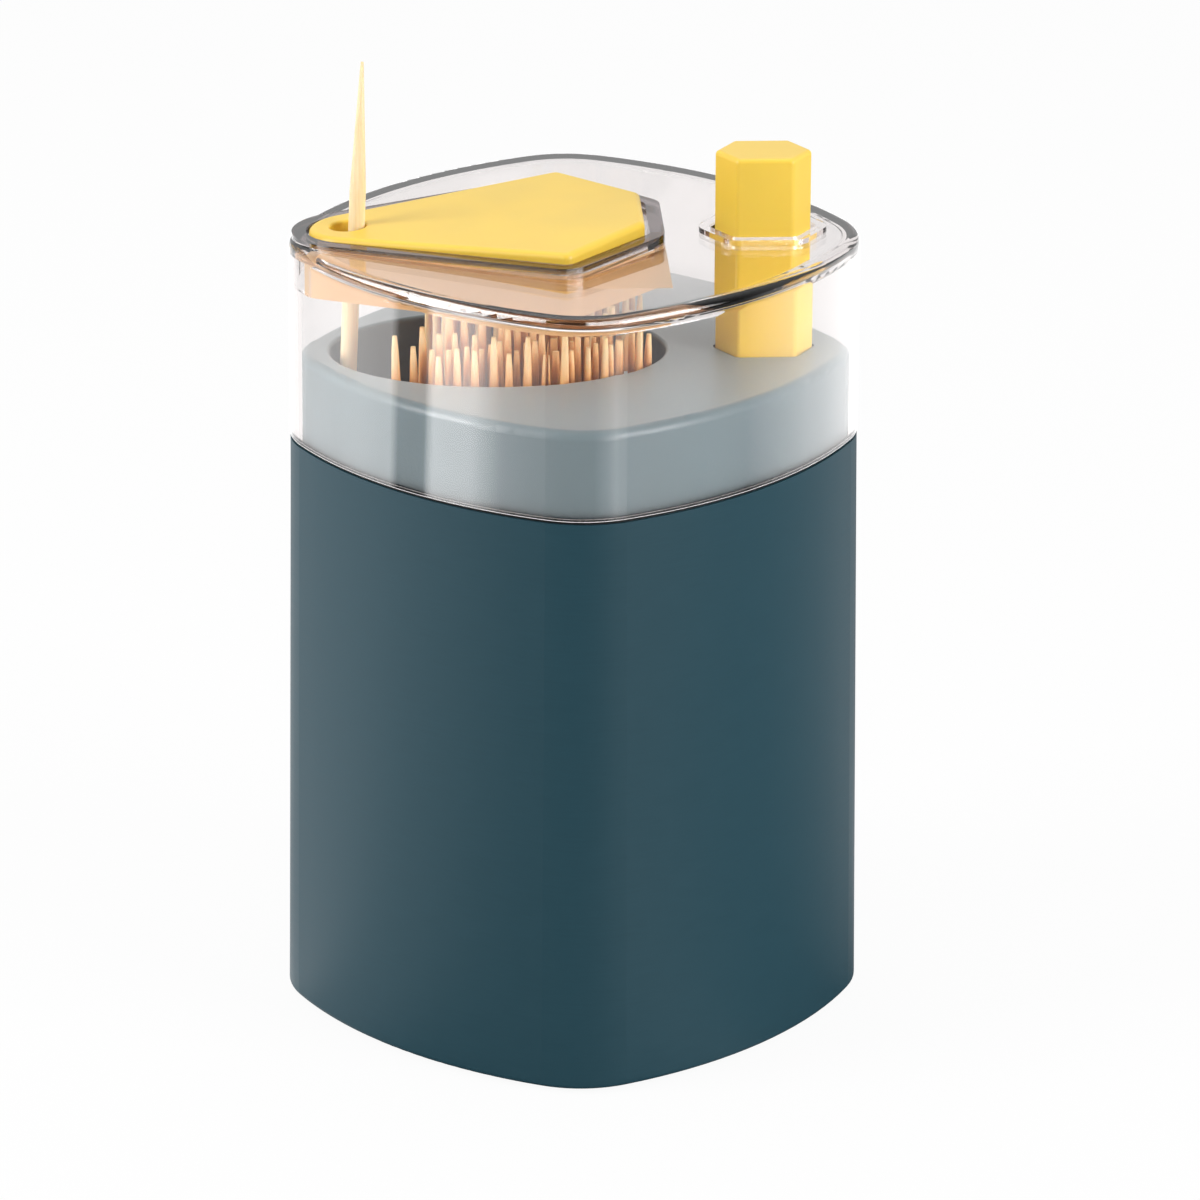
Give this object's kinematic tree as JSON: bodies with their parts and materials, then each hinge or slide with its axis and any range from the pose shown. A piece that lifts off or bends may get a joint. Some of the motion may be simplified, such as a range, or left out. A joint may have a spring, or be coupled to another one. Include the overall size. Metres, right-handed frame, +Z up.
{
  "type": "toothpick dispenser",
  "caption": "Free-standing toothpick dispenser: rounded square body, clear lid with kite-shaped cover and dispensing hole, and a hexagonal push button that lifts a toothpick by a lever.",
  "frame": {"origin": "on the table, under the middle of the body", "axes": "+Z up; -X towards the corner with the dispensing hole, +X towards the corner with the push button"},
  "size_m": [0.0752, 0.0752, 0.1272],
  "materials": {
    "shell_teal": "satin lacquer, dark teal",
    "tub_teal": "matte moulded, teal",
    "base_plastic": "matte moulded, dark grey",
    "black_rubber": "matte",
    "clear_plastic": "clear, smoke tint, polished",
    "yellow_plastic": "semi-gloss moulded, warm yellow",
    "bamboo": "raw bamboo",
    "steel": "plain",
    "brass": "plain",
    "acetal": "natural white"
  },
  "bodies": {
    "casing": {"outer_shell": "shell_teal", "seat_ring": "black_rubber", "inner_tub": "tub_teal", "base_plate": "base_plastic", "foot_front": "black_rubber", "foot_back": "black_rubber", "foot_left": "black_rubber", "foot_right": "black_rubber", "base_screws": "steel", "toothpicks_in_bin": "bamboo", "rod_bush": "acetal", "return_spring": "steel", "fulcrum_bracket": "base_plastic", "bracket_screws": "steel", "pivot_pin": "steel", "pin_clips": "steel"},
    "lid": {"clear_lid": "clear_plastic"},
    "cover": {"kite_cover": "yellow_plastic"},
    "button": {"hex_button": "yellow_plastic", "push_rod": "steel", "rod_clip": "steel"},
    "lever": {"rocker_lever": "acetal", "lever_bush": "brass"},
    "lifter": {"lifter_pad": "acetal", "lifter_rod": "steel", "lifter_tip": "acetal"},
    "toothpick": {"dispensed_toothpick": "bamboo"}
  },
  "joints": [
    {"name": "lid_lift", "type": "slide", "parent": "casing", "child": "lid", "axis": [0, 0, 1], "range_m": [0, 0.05]},
    {"name": "cover_lift", "type": "slide", "parent": "lid", "child": "cover", "axis": [0, 0, 1], "range_m": [0, 0.03]},
    {"name": "button_press", "type": "slide", "parent": "casing", "child": "button", "axis": [0, 0, -1], "range_m": [0, 0.0099], "stiffness_N_per_m": 200, "springref_m": -0.003, "deforming": ["return_spring"]},
    {"name": "lever_rock", "type": "hinge", "parent": "casing", "child": "lever", "pos_m": [0.00986, 0, 0.018], "axis": [0, 1, 0], "range_deg": [0, 39.2]},
    {"name": "lifter_rise", "type": "slide", "parent": "casing", "child": "lifter", "axis": [0, 0, 1], "range_m": [0, 0.0259]},
    {"name": "toothpick_pull", "type": "slide", "parent": "cover", "child": "toothpick", "axis": [0.04, 0, 0.9992], "range_m": [0, 0.06]}
  ],
  "couplings": [
    {"joint": "lever_rock", "follows": "button_press", "rad_per_m": 69.073},
    {"joint": "lifter_rise", "follows": "button_press", "ratio": 2.6063}
  ]
}
